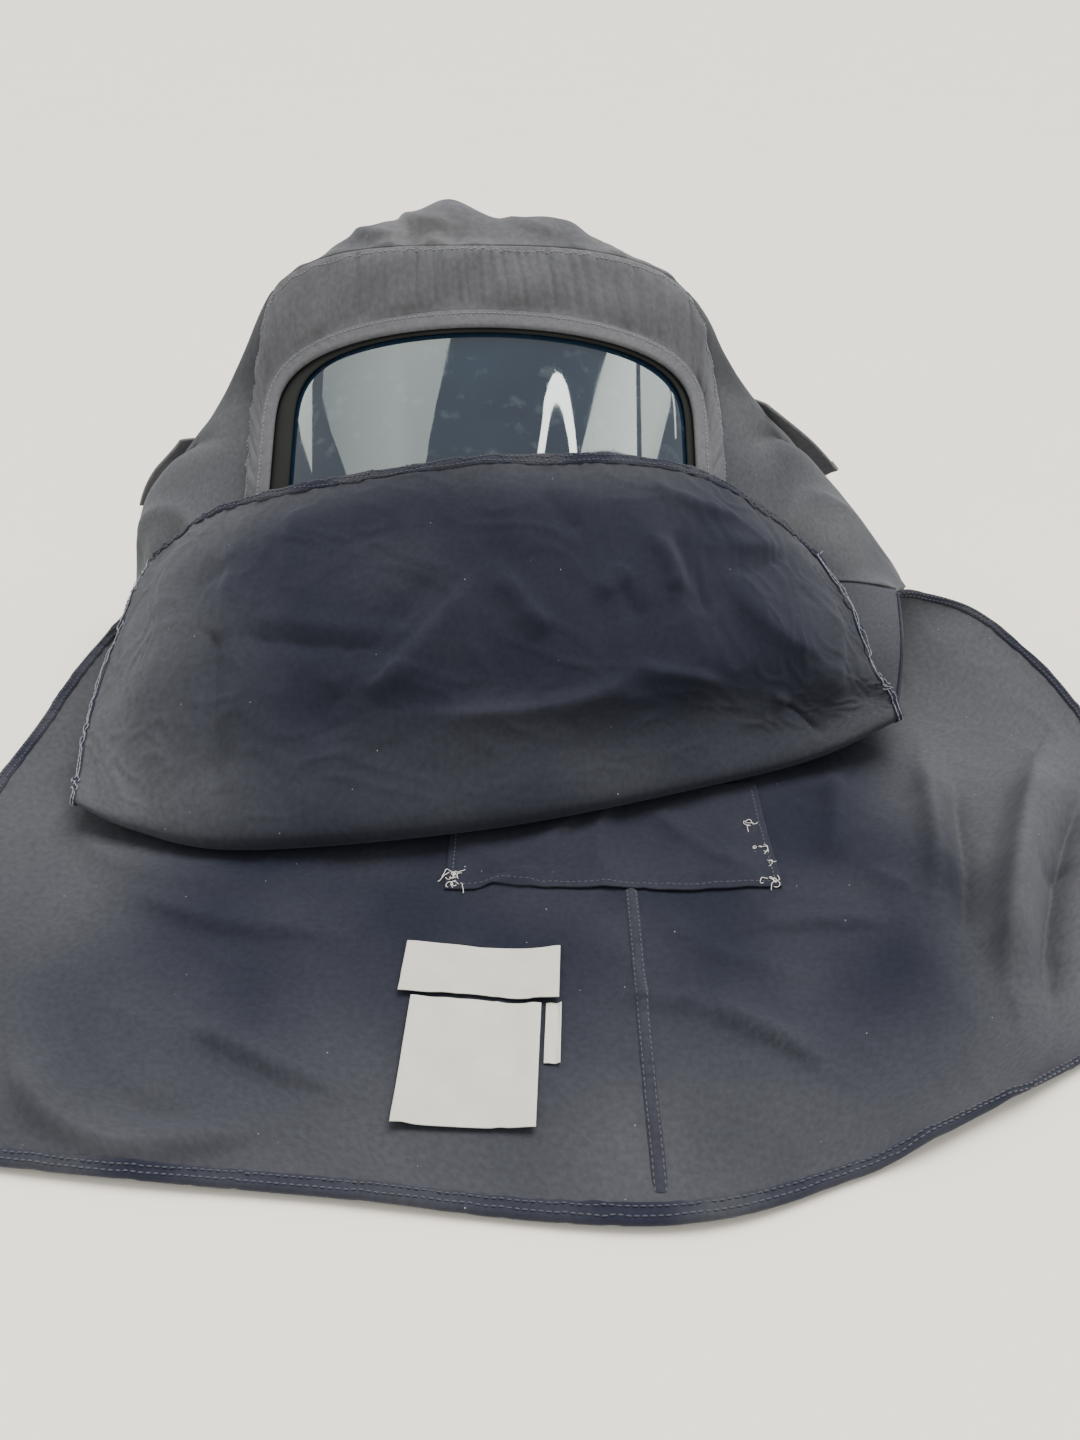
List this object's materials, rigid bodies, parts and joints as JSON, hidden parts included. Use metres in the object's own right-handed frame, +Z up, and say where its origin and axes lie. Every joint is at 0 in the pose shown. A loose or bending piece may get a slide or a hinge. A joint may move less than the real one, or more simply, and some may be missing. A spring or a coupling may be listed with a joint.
{
  "type": "arc flash hood",
  "caption": "Soft fabric hood with a dark curved face window, lying on its back with the front bib folded up over the window and the back bib spread flat.",
  "frame": {"origin": "the flat underside of the back bib, where the hood lies on a table, below the middle of the cloth", "axes": "+Z up from the table the hood lies on, +Y from the bib's lower hem towards the crown, +X to the right as seen from the bib's hem"},
  "size_m": [0.7074, 0.6507, 0.3049],
  "materials": {
    "cloth": "satin",
    "trim": "satin",
    "label": "satin",
    "gasket": "matte",
    "lens": "gloss"
  },
  "bodies": {
    "root": {"crown": "cloth", "front_panel": "cloth", "window_hem": "trim", "window_gasket": "gasket", "lens": "lens", "side_panel_left": "cloth", "side_panel_right": "cloth", "rear_flap_left": "cloth", "rear_flap_right": "cloth", "front_bib": "cloth", "front_bib_hem": "trim", "back_panel": "cloth", "back_bib": "cloth", "back_bib_hem": "trim", "centre_seam": "trim", "cloth_patch": "trim", "label_upper": "label", "label_lower": "label", "label_under": "label"}
  },
  "joints": []
}
